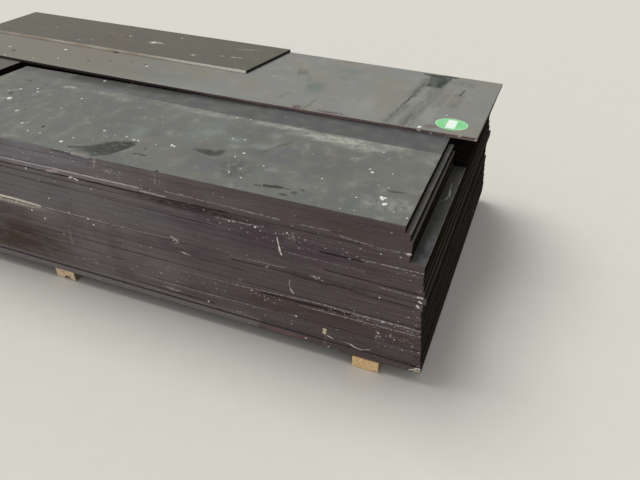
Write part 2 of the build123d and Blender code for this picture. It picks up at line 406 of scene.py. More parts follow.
# The strip lies nearest the wall: brown, dull and scuffed with plaster
stripFilm = {
    "film": "#4a4740", "grain": "#4d4b41", "veneer": "#cbbfa6", "speck": "#dad9ce",
    "dust": "#625f55", "warmDust": "#675f52", "coolDust": "#5c5e56", "paleDust": "#777467",
    "cover": (0.85, 1.0), "cloudSize": 300, "smudgeSize": 70, "gritSize": 4.0, "ragged": (8, 3),
    "speckCell": 60, "speckShare": 0.2, "roughClean": 0.5, "roughDusty": 0.78,
    "marks": [
        {"colour": "#565248", "broken": ((70, 70, 70), 0.35, 0.6),
         "ovals": [(-1780, 960, 130, 26, 0, 0.7, 0.8), (-1290, 1005, 120, 10, 0, 0.5, 0.8)]},
        {"colour": "#15130f",
         "ovals": [(-1856, 1218, 8, 10, 0, 0.9, 0.3), (-1863, 1040, 7, 7, 0, 0.7, 0.3),
                   (-1771, 1060, 7, 9, 0, 0.8, 0.3), (-1716, 1092, 7, 7, 0, 0.7, 0.3)]},
        {"colour": "#cbcabd", "broken": ((10, 14, 10), 0.34, 0.56),
         "ovals": [(-1604, 1036, 20, 13, 8, 1.0, 0.5), (-1571, 1040, 20, 8, 0, 0.6, 0.8),
                   (-1767, 1079, 6, 8, 0, 0.9, 0.3), (-1903, 954, 7, 5, 0, 0.4, 0.6),
                   (-1971, 934, 7, 5, 0, 0.4, 0.6), (-1331, 950, 13, 10, 0, 0.5, 0.7),
                   (-1143, 990, 15, 5, 0, 0.85, 0.5), (-1113, 995, 11, 4, 0, 0.8, 0.5),
                   (-1131, 1109, 46, 10, 12, 0.2, 0.8), (-1516, 1148, 5, 9, 0, 0.6, 0.5),
                   (-1200, 985, 12, 5, 0, 0.4, 0.7)]},
    ],
}

# Faces inside the stack or at its back: the same film with even dust
plainFilm = {
    "film": "#403d3b", "grain": "#474641", "veneer": "#cbbfa6", "speck": "#dad9ce",
    "dust": "#65645e", "warmDust": "#696357", "coolDust": "#60625f", "paleDust": "#87867d",
    "cover": (0.60, 0.95), "cloudSize": 260, "smudgeSize": 60, "gritSize": 3.4,
    "speckCell": 50, "speckShare": 0.25, "roughClean": 0.42, "roughDusty": 0.78,
    "rim": "#5f5658", "endRim": "#1c1b16", "ragged": (3, 1.5), "marks": [],
}

# The lower packet's top shows beside the front packet: dark, partly as painted shade from the front packet,
# and rubbed, with pale scuffs
ledgeFilm = dict(plainFilm)
ledgeFilm.update({
    "film": "#232422", "grain": "#30302d",
    "dust": "#4a4b47", "warmDust": "#4d4940", "coolDust": "#474949", "paleDust": "#6b6b66",
    "cover": (0.45, 0.9), "endRim": None,
    "marks": [
        # painted sheen: pale bluish patches near the front of the ledge
        {"colour": "#85858c", "broken": ((14, 30, 14), 0.30, 0.6),
         "ovals": [(-16, 120, 14, 48, 0, 0.45, 0.9), (-16, 24, 26, 26, 0, 0.4, 0.9)]},
        {"colour": "#b3b2a6", "broken": ((5, 12, 5), 0.26, 0.48),
         "strokes": [(-28, 492, -23, 440, 1.6, 0.45, 0.8), (-23, 440, -20, 408, 2.6, 0.7, 0.7),
                     (-20, 408, -25, 384, 2.0, 0.6, 0.7), (-25, 384, -36, 368, 1.4, 0.4, 0.8)]},
        {"colour": "#9a998c", "broken": ((20, 40, 20), 0.25, 0.5),
         "strokes": [(-3, 0, -3, 900, 1.2, 0.35, 0.9), (-52, 2, 0, 2, 2, 0.5, 0.8)]},
    ],
})

# Sawn plywood edges sealed with brown paint: thin plies show through it as fine lines along the
# edge, dust has settled on the ledges and the arrises are chipped to the pale veneer
sheetEdge = {
    "paint": "#64585a", "deepPaint": "#4b3f41", "wornPaint": "#7b6e70", "dust": "#8a8583",
    # the end paints are dark brown, darkened further as painted shade for the right ends
    "shadedEndPaint": "#1c1611", "shadedEndPly": "#2a221b", "veneer": "#e6dcc4", "glueLine": "#a58f72",
    "plyWidth": 2.8, "plyLength": 110,   # a ply is 1.4 mm; it is drawn coarser so that it shows
    "grainSize": (8, 1.7), "gritSize": 2.5, "hazeSize": 170,
    "plaster": "#d3ccc7", "spatterCell": (11, 7, 5),
    # where plaster has spattered the front: (x, z, half length, half height, turn, strength, softness)
    "spatter": [(-120, 225, 190, 30, 0, 1.0, 0.7), (-60, 170, 80, 40, 0, 1.0, 0.6),
                (-1660, 338, 120, 16, 0, 1.0, 0.6), (-9, 300, 9, 110, 0, 1.0, 0.6),
                (-45, 436, 34, 12, 0, 0.8, 0.6), (-520, 200, 110, 16, 0, 0.9, 0.6),
                (-345, 343, 24, 9, 0, 0.9, 0.6), (-930, 190, 160, 30, 0, 0.6, 0.8),
                (-1545, 338, 110, 18, 0, 0.9, 0.6),
                (-430, 470, 200, 30, 0, 0.5, 0.8), (-620, 92, 90, 14, 0, 0.7, 0.7),
                (-850, 348, 30, 12, 0, 0.9, 0.6), (-1200, 560, 300, 40, 0, 0.35, 0.8)],
    "bottomBand": (-556, 92),            # a dusty band runs left from here, below this height
    "marks": [
        # broad tints in the paint
        {"colour": "#777577", "broken": ((160, 160, 40), 0.26, 0.58),
         "ovals": [(-1440, 425, 360, 64, 0, 0.9, 0.6), (-1060, 425, 330, 62, 0, 0.6, 0.7)]},
        {"colour": "#54473f", "broken": ((300, 300, 60), 0.26, 0.58),
         "ovals": [(-1640, 175, 300, 110, 0, 0.9, 0.7), (-330, 190, 330, 46, 0, 0.7, 0.7),
                   (-180, 555, 170, 40, 0, 0.4, 0.8)]},
        {"colour": "#50424f", "broken": ((160, 160, 30), 0.30, 0.6),
         "ovals": [(-560, 450, 380, 66, 0, 0.6, 0.7), (-840, 320, 200, 40, 0, 0.5, 0.8)]},
        {"colour": "#8d6a6a", "broken": ((14, 14, 5), 0.30, 0.55),
         "ovals": [(-455, 62, 72, 9, 0, 0.7, 0.6)]},
        {"colour": "#87858a", "broken": ((150, 150, 40), 0.22, 0.62),
         "ovals": [(-1560, 575, 480, 52, 0, 0.85, 0.6)]},
        {"colour": "#9a9399", "broken": ((40, 40, 14), 0.28, 0.62),
         "ovals": [(-1440, 527, 170, 12, -2, 0.9, 0.7), (-1130, 530, 160, 9, 0, 0.6, 0.8)]},
        # shadows between sheets that don't line up
        {"colour": "#1b1516", "broken": ((120, 120, 4), 0.24, 0.56),
         "strokes": [(-1640, 509, -960, 511, 5.0, 1.0, 0.3), (-960, 511, -640, 514, 3.2, 0.9, 0.5),
                     (-640, 513, -200, 510, 1.8, 0.5, 0.8), (-1640, 463, -690, 452, 2.0, 0.5, 0.8),
                     (-323, 451, -192, 453, 5.5, 0.75, 0.3), (-309, 384, 6, 377, 3.0, 0.7, 0.6),
                     (-225, 325, -8, 323, 2.6, 0.7, 0.7), (-640, 331, -394, 338, 3.0, 0.7, 0.6),
                     (-536, 222, -221, 230, 4.5, 0.8, 0.5), (-1050, 109, -730, 106, 3.2, 0.6, 0.7),
                     (-1305, 606, -1150, 603, 4.5, 0.55, 0.9), (-1500, 245, -900, 246, 2.0, 0.5, 0.8),
                     (-1300, 300, -600, 296, 1.8, 0.45, 0.8), (-1640, 200, -1100, 196, 2.0, 0.5, 0.8)]},
        {"colour": "#2f2627", "broken": ((30, 30, 6), 0.30, 0.55),
         "ovals": [(-760, 499, 230, 12, 0, 0.8, 0.7), (-350, 331, 90, 7, 0, 0.7, 0.7),
                   (-240, 334, 60, 6, 0, 0.7, 0.7)]},
        # pale ledges and scratches
        {"colour": "#857c80", "broken": ((60, 60, 12), 0.22, 0.56),
         "strokes": [(-1640, 525, -980, 523, 6.5, 0.8, 0.5)]},
        {"colour": "#c2bbbf", "broken": ((34, 34, 9), 0.22, 0.54),
         "strokes": [(-1640, 530, -1320, 532, 2.2, 0.8, 0.8), (-1320, 532, -969, 532.5, 2.6, 1.0, 0.7),
                     (-964, 523, -868, 520, 1.9, 0.9, 0.7), (-1223, 606, -1150, 604, 2.2, 0.8, 0.7),
                     (-1127, 607, -1137, 576, 3.2, 0.5, 0.9)]},
        {"colour": "#b0a8a8", "broken": ((10, 10, 7), 0.38, 0.58),
         "strokes": [(-864, 541, -620, 537, 1.8, 0.8, 0.8), (-620, 537, -460, 534, 2.2, 1.0, 0.7),
                     (-686, 487, -519, 489, 2.0, 1.0, 0.7), (-391, 533, -295, 535, 1.8, 0.9, 0.7),
                     (-263, 524, -140, 512, 2.2, 0.7, 0.8), (-140, 513, -50, 515, 2.4, 0.9, 0.7),
                     (-192, 459, -2, 461, 1.9, 1.0, 0.7), (-444, 416, -180, 415, 1.5, 0.7, 0.8),
                     (-130, 368, -21, 364, 2.0, 0.8, 0.7), (-646, 342, -446, 350, 1.8, 0.7, 0.8),
                     (-638, 224, -535, 230, 1.8, 0.7, 0.8), (-535, 230, -339, 242, 2.0, 0.9, 0.7),
                     (-339, 242, -198, 239, 2.0, 0.9, 0.7), (-198, 238, -57, 240, 2.8, 1.0, 0.6),
                     (-57, 240, 23, 239, 2.4, 1.0, 0.7), (-396, 209, 25, 214, 1.8, 0.9, 0.8),
                     (-1086, 151, -935, 138, 1.6, 0.7, 0.8), (-935, 138, -408, 150, 1.6, 0.8, 0.8),
                     (-984, 219, -620, 225, 1.5, 0.6, 0.8), (-1191, 91, -966, 88, 2.2, 0.7, 0.8),
                     (-966, 88, -733, 77, 2.2, 0.7, 0.8), (-699, 94, -559, 94, 2.4, 1.0, 0.7),
                     (-1410, 347, -1022, 345, 2.2, 1.0, 0.7), (-1022, 345, -880, 350, 1.6, 0.7, 0.8),
                     (-1332, 273, -1332, 205, 3.5, 0.45, 0.9), (-306, 92, -306, 62, 3.0, 0.6, 0.9),
                     (-895, 596, -897, 566, 3.0, 0.4, 0.9), (-1299, 146, -1245, 152, 2.0, 0.8, 0.8),
                     (-1245, 152, -1236, 137, 2.2, 0.8, 0.8)],
         "ovals": [(-905, 119, 34, 7, -3, 0.9, 0.4), (-824, 302, 22, 4, -8, 0.9, 0.6),
                   (-1084, 569, 15, 7, 0, 0.7, 0.7), (-415, 478, 5, 14, 0, 0.6, 0.8)]},
        # plaster and torn veneer
        {"colour": "#c0acb2", "broken": ((9, 9, 6), 0.26, 0.52),
         "strokes": [(-872, 358, -853, 351, 4.0, 0.8, 0.9), (-853, 350, -846, 341, 3.0, 0.8, 0.8),
                     (-514, 333, -505, 343, 2.0, 0.9, 0.7), (-357, 345, -330, 343, 2.2, 0.7, 0.8),
                     (-1352, 514, -1306, 527, 5.0, 0.7, 0.9)]},
        {"colour": "#f1ede6", "broken": ((6, 6, 5), 0.28, 0.46),
         "strokes": [(-469, 464, -465, 436, 1.7, 0.8, 0.8), (-464, 430, -461, 414, 3.2, 1.0, 0.6),
                     (-459, 408, -457, 401, 2.4, 1.0, 0.6), (-430, 306, -434, 279, 1.2, 0.4, 0.9),
                     (-430, 270, -419, 252, 1.9, 0.7, 0.8), (-1262, 506, -1246, 512, 3.4, 1.0, 0.6),
                     (-1246, 512, -1228, 502, 3.2, 1.0, 0.6), (-9, 56, 6, 63, 2.6, 1.0, 0.6),
                     (6, 63, 14, 72, 3.4, 1.0, 0.6), (16, 73, 28, 68, 4.6, 1.0, 0.5),
                     (-60, 514, -46, 516, 2.8, 1.0, 0.6), (-14, 366, 0, 366, 3.0, 1.0, 0.6),
                     (-8, 350, -2, 346, 3.0, 1.0, 0.6), (-12, 336, -7, 330, 3.2, 1.0, 0.6)]},
        # a crack in the sealer
        {"colour": "#e4e0da",
         "strokes": [(-296, 107, -277, 99.5, 2.0, 0.9, 0.8), (-279, 94, -221, 91.5, 2.1, 0.95, 0.8),
                     (-221, 91.5, -201, 80, 2.3, 1.0, 0.8), (-201, 80, -176, 77, 2.1, 0.9, 0.8),
                     (-176, 77, -148, 90, 1.5, 0.6, 0.9)]},
        {"colour": "#ead9b8", "shapes": [(1.0, 1.5, [(-315, 112), (-303, 109), (-300, 132), (-313, 134)])]},
        {"colour": "#fff7e6", "broken": ((8, 8, 4), 0.40, 0.52),
         "strokes": [(-1760, 352, -1547, 350, 4.6, 1.0, 0.7), (-1547, 350, -1446, 345, 4.0, 1.0, 0.8)]},
        {"colour": "#f6efdc", "broken": ((4, 4, 3), 0.48, 0.56),
         "ovals": [(-1610, 341, 150, 13, 0, 0.9, 0.7)]},
    ],
}

# The back packet's front lies in the hollow behind the front packet: it is painted dark there, as painted
# shade
innerEdge = dict(sheetEdge, paintedHollowShade="#1a1413")


def marksBetween(groups, low, high):
    # only the marks that reach a sheet between two heights, so that its material stays light
    spans = {"ovals": lambda m: (m[1] - m[3] * 1.8, m[1] + m[3] * 1.8),
             "strokes": lambda m: (min(m[1], m[3]) - m[4] * 2, max(m[1], m[3]) + m[4] * 2),
             "shapes": lambda m: (min(y for x, y in m[2]), max(y for x, y in m[2]))}
    kept = []
    for marks in groups:
        part = dict(marks)
        for kind, span in spans.items():
            part[kind] = [m for m in marks.get(kind, []) if span(m)[0] < high and low < span(m)[1]]
        if any(part[kind] for kind in spans):
            kept.append(part)
    return kept


def addSpatter(tree, colour, place, look, low, high, front):
    # spattered plaster on the front, thickest where the look says and thin elsewhere
    where = 0.035
    for marks in marksBetween([{"ovals": look["spatter"]}], low, high):
        where = addNode(tree, "Math", (drawMarks(tree, place, marks, True), where), operation="MAXIMUM")
    share = addNode(tree, "Math", (where, 0.6), operation="MULTIPLY")
    cells = addNode(tree, "VectorMath", (place, look["spatterCell"]), operation="DIVIDE")
    speck, chance = specks(tree, cells, 1.0, 0.22, 0.16, share)
    strength = addNode(tree, "Math", (chance, 0.65, 0.2), operation="MULTIPLY_ADD")
    shown = addNode(tree, "Math", (front, strength), operation="MULTIPLY")
    share = addNode(tree, "Math", (speck, shown), operation="MULTIPLY")
    return layer(tree, colour, look["plaster"], share)


def sealedEdge(name, look, low=0.0, high=0.0):
    # the marks between the two heights are painted on the front
    material, tree, place = startMaterial(name)
    axes = addNode(tree, "SeparateXYZ", [place]).node.outputs
    length, ply = look["plyLength"], look["plyWidth"]
    along, tall = look["grainSize"]
    plies = grain(tree, place, (length, length, ply), 4.0, 0.7)
    fine = grain(tree, place, (along, along, tall), 3.0, 0.7)
    broad = grain(tree, place, (length * 4, length * 4, ply * 6), 3.0, 0.6)
    haze = grain(tree, place, look["hazeSize"], 4.0, 0.6)
    grit = grain(tree, place, look["gritSize"], 3.0, 0.6)
    tone = addNode(tree, "Attribute", (), "Fac", attribute_name="tone")
    paler = addNode(tree, "Math", (tone, 0.22), operation="MULTIPLY")

    colour = layer(tree, look["deepPaint"], look["paint"], plies, 0.28, 0.60)
    colour = layer(tree, colour, look["wornPaint"], broad, 0.48, 0.75, 0.0, 0.5)
    colour = layer(tree, colour, look["wornPaint"], paler)
    colour = layer(tree, colour, look["deepPaint"], fine, 0.30, 0.46, 0.55, 0.0)
    colour = layer(tree, colour, look["dust"], grit, 0.58, 0.80, 0.0, 0.4)

    # paler and greyer towards the left, partly dust and partly painted light, and dust lies in broken lines
    # on what faces up
    front = mask(tree, facing(tree, "Y"), -0.25, -0.55)
    hazeByFacing = addNode(tree, "Math", (front, 0.6, 0.4), operation="MULTIPLY_ADD")
    leftward = mask(tree, axes["X"], -100.0, -1500.0, 0.0, 0.65)
    upward = mask(tree, facing(tree, "Z"), 0.25, 0.85)
    colour = layer(tree, colour, look["dust"], haze, 0.30, 0.66, 0.35, 1.0, leftward, hazeByFacing)
    colour = layer(tree, colour, look["dust"], fine, 0.54, 0.74, 0.0, 0.5)
    colour = layer(tree, colour, look["dust"], fine, 0.42, 0.60, 0.1, 0.7, upward)

    # marks on the front
    ragged = flattened(tree, jittered(tree, jittered(tree, place, 24, 2.2), 6, 1.2), True)
    colour = paintMarks(tree, colour, ragged, marksBetween(look["marks"], low, high), True, front)
    bandEnd, bandTop = look["bottomBand"]
    if low < bandTop:
        band = mask(tree, axes["X"], bandEnd + 4, bandEnd - 4)
        band = mask(tree, axes["Z"], bandTop + 3, bandTop - 3, 0.0, 1.0, band)
        colour = layer(tree, colour, look["dust"], fine, 0.3, 0.6, 0.25, 0.75, band, front)

    colour = addSpatter(tree, colour, ragged, look, low, high, front)
    # painted shade: the back packet's front, in the hollow, is painted dark
    if "paintedHollowShade" in look:
        colour = layer(tree, colour, look["paintedHollowShade"], front)

    # the right end is the cleanest, and its paint is darkened as painted shade; chips show the raw plies
    shadedEndColour = layer(tree, look["shadedEndPaint"], look["shadedEndPly"], plies, 0.45, 0.75, 0.0, 0.8)
    colour = layer(tree, colour, shadedEndColour, facing(tree, "X"), 0.35, 0.7)
    rawPlies = layer(tree, look["glueLine"], look["veneer"], plies, 0.4, 0.6)
    colour = layChips(tree, colour, rawPlies)
    roughness = mask(tree, grit, 0.3, 0.7, 0.62, 0.88)
    height = addNode(tree, "Math", (fine, 0.6, plies), operation="MULTIPLY_ADD")
    return finishMaterial(material, colour, roughness, height, 0.45, gloss=0.0)    # chalky and quite matt


# The thin board's edge has a reddish primer; the strip's front edge was sawn last, so its raw
# birch plies show cream with brown glue lines, and its other edges are dark
boardEdge = {
    "main": "#97807f", "deep": "#665153", "pale": "#a8928f", "dark": "#150f0e", "veneer": "#e2d8c2",
    "plyWidth": 2.2,                     # again coarser than a real ply
    "marks": [
        {"colour": "#a8988a", "broken": ((10, 10, 3), 0.32, 0.5),
         "strokes": [(-90, 610.5, 22, 610.5, 2.2, 0.9, 0.6), (-330, 611, -90, 610.5, 1.2, 0.5, 0.8)]},
        {"colour": "#ddd8ca",
         "strokes": [(-189, 617, -182, 617, 3.4, 0.9, 0.6), (-143, 611, -140, 611, 2.4, 0.8, 0.7),
                     (-42, 618, -37, 619, 2.8, 0.8, 0.7)]},
    ],
}
stripEdge = {
    "main": "#33291f", "deep": "#211812", "pale": "#554a3c", "dark": "#150f0e", "veneer": "#e2d8c2",
    "plyWidth": 2.2,
    "raw": {"ply": "#fffcee", "glueLine": "#f6e4c2", "stain": "#d6bf9f", "dirt": "#bfa68e",
            "pit": "#2a221a"},
}


def thinEdge(name, look):
    material, tree, place = startMaterial(name)
    plies = grain(tree, place, (160, 160, look["plyWidth"]), 3.0, 0.7)
    blotch = grain(tree, place, (26, 26, 7), 4.0, 0.65)
    grit = grain(tree, place, 2.5, 3.0, 0.6)
    sideways = addNode(tree, "SeparateXYZ", [place], "X")
    colour = layer(tree, look["deep"], look["main"], plies, 0.38, 0.62)
    colour = layer(tree, colour, look["pale"], blotch, 0.52, 0.72, 0.0, 0.8)
    if "raw" in look:                    # the strip's raw front, dirtier towards the left
        wood = look["raw"]
        leftward = mask(tree, sideways, -1250.0, -1550.0, 0.0, 0.8)
        broad = grain(tree, place, (220, 220, 60), 2.0)
        raw = layer(tree, wood["glueLine"], wood["ply"], plies, 0.26, 0.40)
        raw = layer(tree, raw, wood["stain"], blotch, 0.56, 0.74, 0.0, 0.45)
        raw = layer(tree, raw, wood["dirt"], broad, 0.35, 0.6, 0.4, 1.0, leftward)
        raw = layer(tree, raw, wood["pit"], blotch, 0.34, 0.27, 0.0, 0.9)
        colour = layer(tree, colour, raw, facing(tree, "Y"), -0.2, -0.5)
    if "marks" in look:                  # the board's primed front, darker towards the left as painted shade
        colour = layer(tree, colour, look["dark"], sideways, -800.0, -1300.0, 0.0, 0.85)
        ragged = flattened(tree, jittered(tree, place, 6, 1.5), True)
        front = mask(tree, facing(tree, "Y"), -0.3, -0.6)
        colour = paintMarks(tree, colour, ragged, look["marks"], True, front)
    # painted shade: faces towards +x, the right ends, are darkened
    colour = layer(tree, colour, look["dark"], facing(tree, "X"), 0.35, 0.7, 0.0, 0.85)
    colour = layChips(tree, colour, look["veneer"])
    return finishMaterial(material, colour, mask(tree, grit, 0.3, 0.7, 0.6, 0.85), plies, 0.5, 0.6, 0.3)


# Sawn softwood bearers: long grain on the sides, blotchy end grain with faint growth rings
bearerWood = {
    "early": "#ffddaa", "late": "#ecba80", "sideEarly": "#a98f6c", "sideLate": "#836848",
    "grime": "#97815f",
    "ringWidth": 6.5, "rippleSize": 22,  # a ring is about 3 mm wide; it is drawn coarser
}
weatheredWood = dict(bearerWood, early="#f8deb8", late="#d2b08a", sideEarly="#8f8069", sideLate="#6f604b",
                     grime="#6a5d4d")


def softwood(name, look):
    material, tree, place = startMaterial(name)
    # rings round a line that runs back along the floor from the stack's corner, stretched out
    # sideways; they hardly change along a bearer. At scale 0.314 they would lie 1 mm apart
    squeeze = (0.55, 0.012, 1.0)
    squeezed = addNode(tree, "VectorMath", (jittered(tree, place, look["rippleSize"], 5.0), squeeze),
                       operation="MULTIPLY")
    wave = {"Vector": squeezed, "Scale": 0.314 / look["ringWidth"], "Distortion": 2.5, "Detail": 3.0,
            "Detail Scale": 0.10}
    rings = addNode(tree, "TexWave", wave, "Fac", wave_type="RINGS", rings_direction="Y",
                    wave_profile="SIN")
    pores = grain(tree, place, (1.8, 22, 1.8), 3.0, 0.7)
    blotch = grain(tree, place, (13, 90, 13), 4.0, 0.65)
    across = addNode(tree, "Math", [facing(tree, "Y")], operation="ABSOLUTE")
    endGrain = layer(tree, look["early"], look["late"], blotch, 0.35, 0.65, 0.15, 0.7, rings)
    sideGrain = layer(tree, look["sideEarly"], look["sideLate"], rings)
    colour = layer(tree, sideGrain, endGrain, across, 0.4, 0.7)
    colour = layer(tree, colour, look["late"], pores, 0.5, 0.75, 0.0, 0.5)
    colour = layer(tree, colour, look["grime"], blotch, 0.50, 0.72, 0.0, 0.65)
    height = addNode(tree, "Math", (rings, 0.4, pores), operation="MULTIPLY_ADD")
    return finishMaterial(material, colour, mask(tree, pores, 0.3, 0.7, 0.7, 0.9), height, 0.6)


# A green paper label with a pale rim and a bare write-on field, satin and a little scuffed
labelPaper = {"green": "#79cc86", "fade": "#98d9a0", "rim": "#b9e6bd", "field": "#edf6ea",
              "scuff": "#b8bdae", "fieldHalf": (17, 36),
              "fibre": 7}                # drawn far coarser than real fibres so that it shows


def printedPaper(name, look, centre, halfSize, turn):
    material, tree, place = startMaterial(name)
    away = addNode(tree, "VectorMath", (place, centre), operation="SUBTRACT")
    turned = addNode(tree, "VectorRotate", {"Vector": away, "Angle": -turn}, rotation_type="Z_AXIS")
    outward = addNode(tree, "VectorMath", (turned, (*halfSize, 1000)), operation="DIVIDE")
    reach = addNode(tree, "VectorMath", [outward], "Value", operation="LENGTH")
    fibre = grain(tree, place, look["fibre"], 4.0, 0.65)
    colour = layer(tree, look["green"], look["fade"], grain(tree, place, 45, 2.0), 0.35, 0.65, 0.0, 0.6)
    a, b = look["fieldHalf"]
    field = {"colour": look["field"], "shapes": [(0.95, 0.6, [(-a, -b), (a, -b), (a, b), (-a, b)])]}
    colour = paintMarks(tree, colour, flattened(tree, turned, False), [field], False)
    colour = layer(tree, colour, look["rim"], reach, 0.91, 0.95, 0.0, 0.7)
    colour = layer(tree, colour, look["scuff"], fibre, 0.58, 0.75, 0.0, 0.35)
    return finishMaterial(material, colour, 0.5, fibre, 0.2, 0.3)


# Lime plaster that fell and broke: matt, chalky and uneven
plasterCrumb = {"pale": "#fbfaf5", "shade": "#dedacf", "chalk": 3}


def crumbMaterial(name, look):
    material, tree, place = startMaterial(name)
    chalk = grain(tree, place, look["chalk"])
    colour = layer(tree, look["shade"], look["pale"], chalk, 0.35, 0.65)
    return finishMaterial(material, colour, mask(tree, chalk, 0.3, 0.7, 0.8, 0.95))


print("materials")
film = {"front": dustyFilm("dusty_phenolic_film", frontPacketFilm),
        "board": dustyFilm("pale_dusty_film", boardFilm),
        "strip": dustyFilm("brown_dusty_film", stripFilm),
        "ledge": dustyFilm("rubbed_film_with_painted_shade", ledgeFilm),
        "plain": dustyFilm("plain_dusty_film", plainFilm)}
edge = {"sheet": sealedEdge("sealed_ply_edge", sheetEdge),
        "inner": sealedEdge("ply_edge_with_painted_shade", innerEdge),
        "board": thinEdge("primed_ply_edge", boardEdge),
        "strip": thinEdge("raw_birch_ply_edge", stripEdge)}
wood = {"bearer_right": softwood("sawn_softwood", bearerWood)}
wood["bearer_middle"] = wood["bearer_left"] = softwood("weathered_softwood", weatheredWood)
plaster = crumbMaterial("plaster_crumb", plasterCrumb)


def outlineOf(node):
    # the corners of a flat node seen from above, anticlockwise, from its own mesh
    points = np.array([v.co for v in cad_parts[node].data.vertices])
    upper = points[points[:, 2] > points[:, 2].max() - 0.01 * mm][:, :2]
    upper = np.unique(upper.round(6), axis=0)
    middle = (upper.min(0) + upper.max(0)) / 2
    order = np.argsort(np.arctan2(upper[:, 1] - middle[1], upper[:, 0] - middle[0]))
    return upper[order]


def walkOutline(corners, steps, reach=60 * mm):
    # points round the outline, the way inwards at each, and how far along it lies. Near a corner
    # the way inwards leans over to the mitre, so that rows set further in never cross
    points, inward = [], []
    count = len(corners)
    ways = [corners[(i + 1) % count] - corners[i] for i in range(count)]
    units = [w / np.linalg.norm(w) for w in ways]
    normals = [np.array([-u[1], u[0]]) for u in units]
    lean = [(normals[i - 1] + normals[i]) @ units[i] / (1 + normals[i - 1] @ normals[i])
            for i in range(count)]
    for i in range(count):
        length = np.linalg.norm(ways[i])
        side = "front" if normals[i][1] > 0.7 else "right" if normals[i][0] < -0.7 else "hidden"
        pieces = max(1, round(length / steps[side]))
        near = min(reach, length / 2)
        for k in range(pieces):
            t = length * k / pieces
            start = lean[i] * max(0.0, 1 - t / near)
            end = lean[(i + 1) % count] * max(0.0, 1 - (length - t) / near)
            points.append(corners[i] + units[i] * t)
            inward.append(normals[i] + units[i] * (start - end))
    points, inward = np.array(points), np.array(inward)
    gaps = np.linalg.norm(np.roll(points, -1, 0) - points, axis=1)
    return points, inward, np.concatenate([[0], np.cumsum(gaps)[:-1]]), gaps.sum()


def wander(rng, along, total, wave):
    # a smooth random line round the outline, which swings about once in so many metres
    knots = max(4, int(total / wave))
    values = rng.standard_normal(knots)
    at = along / total * knots
    low = np.floor(at).astype(int)
    t = at - low
    t = t * t * (3 - 2 * t)
    return values[low % knots] * (1 - t) + values[(low + 1) % knots] * t


def tubeFaces(rings, count, flipped=False):
    # quads from ring to ring and a cap at each end, wound the other way if flipped
    column = np.arange(count)
    after = (column + 1) % count
    faces = []
    for a in range(0, (rings - 1) * count, count):
        b = a + count
        quads = (a + column, b + column, b + after, a + after)
        if flipped:
            quads = (a + column, a + after, b + after, b + column)
        faces += np.stack(quads, 1).tolist()
    way = -1 if flipped else 1
    return faces + [column[::way].tolist(), (column[::-way] + (rings - 1) * count).tolist()]


def makeMesh(name, points, faces, materials):
    mesh = bpy.data.meshes.new(name + "_mesh")
    mesh.from_pydata(np.asarray(points, float).tolist(), [], faces)
    for material in materials:
        mesh.materials.append(material)
    return mesh


def addPiece(node, mesh):
    mesh.update()
    piece = bpy.data.objects.new(node + "_piece", mesh)
    bpy.context.scene.collection.objects.link(piece)
    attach(piece, "root")
    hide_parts(node)


# How the edges of each kind of sheet are worn. Sizes are in millimetres
sheetWear = {
    "steps": {"front": 5, "right": 6, "hidden": 10}, "sideRows": 6, "sideInset": 0.1,
    "film": (14, 4),                     # how far in from the edge the film's two rows lie
    "arris": 0.6, "arrisShape": ((1.0, 0.12), (0.3, 1.0)),    # in and down, as shares of the arris
    "wave": 0.25, "waveLength": 350, "plyStep": 0.3, "plyWave": 45, "plyShares": (0.4, 1.0),
    "chipsPerMetre": 3.0, "chipHalf": (3, 16), "chipDepth": (0.5, 2.4), "jagged": 0.45,
    "freshShare": 0.10, "freshness": 0.9,
}
packetWear = dict(sheetWear, steps={"front": 4.5, "right": 4.5, "hidden": 9}, arris=0.4, plyStep=0.2)
boardWear = dict(sheetWear, steps={"front": 5, "right": 6, "hidden": 9}, sideRows=3, film=(10, 3),
                 arris=0.5, plyStep=0.15, chipsPerMetre=3.5, chipDepth=(0.4, 1.6))
innerWear = dict(sheetWear, steps={"front": 14, "right": 6, "hidden": 14})

# Damage that stands out: (x, y of the place, half length, depth, height from the sheet's top,
# reach up and down, freshness)
damage = {
    "full_sheet_06": [(-1580, 0, 150, 2.2, 22, 4.0, 0.48), (14, 2, 6, 2.0, 2, 3, 0.9)],
    "full_sheet_05": [(2, 0, 5, 2.0, 20, 4, 0.8)],
    "full_sheet_07": [(2, 0, 5, 2.0, 4, 3, 0.9)],
    "full_sheet_08": [(0, 0, 4, 1.6, 4, 3, 0.8)],
    "full_sheet_09": [(2, 0, 4, 1.6, 0, 3, 0.7)],
    "full_sheet_17": [(-900, 0, 340, 1.6, 2, 4, 0.2)],
    "full_sheet_18": [(18, 0, 22, 4.5, 17, 8, 1.0), (-559, 0, 12, 2.5, 0, 6, 0.4)],
    "front_sheet_04": [(-1328, -3, 36, 3.0, 6, 9, 0.2)],
    "front_sheet_05": [(-48, 0, 11, 2.2, 0, 5, 0.9)],
    "top_board": [(22, 598, 12, 2.0, 8, 5, 0.9), (-38, 597, 5, 1.5, 1, 3, 0.9),
                  (-141, 597, 4, 1.2, 6, 3, 0.9)],
}

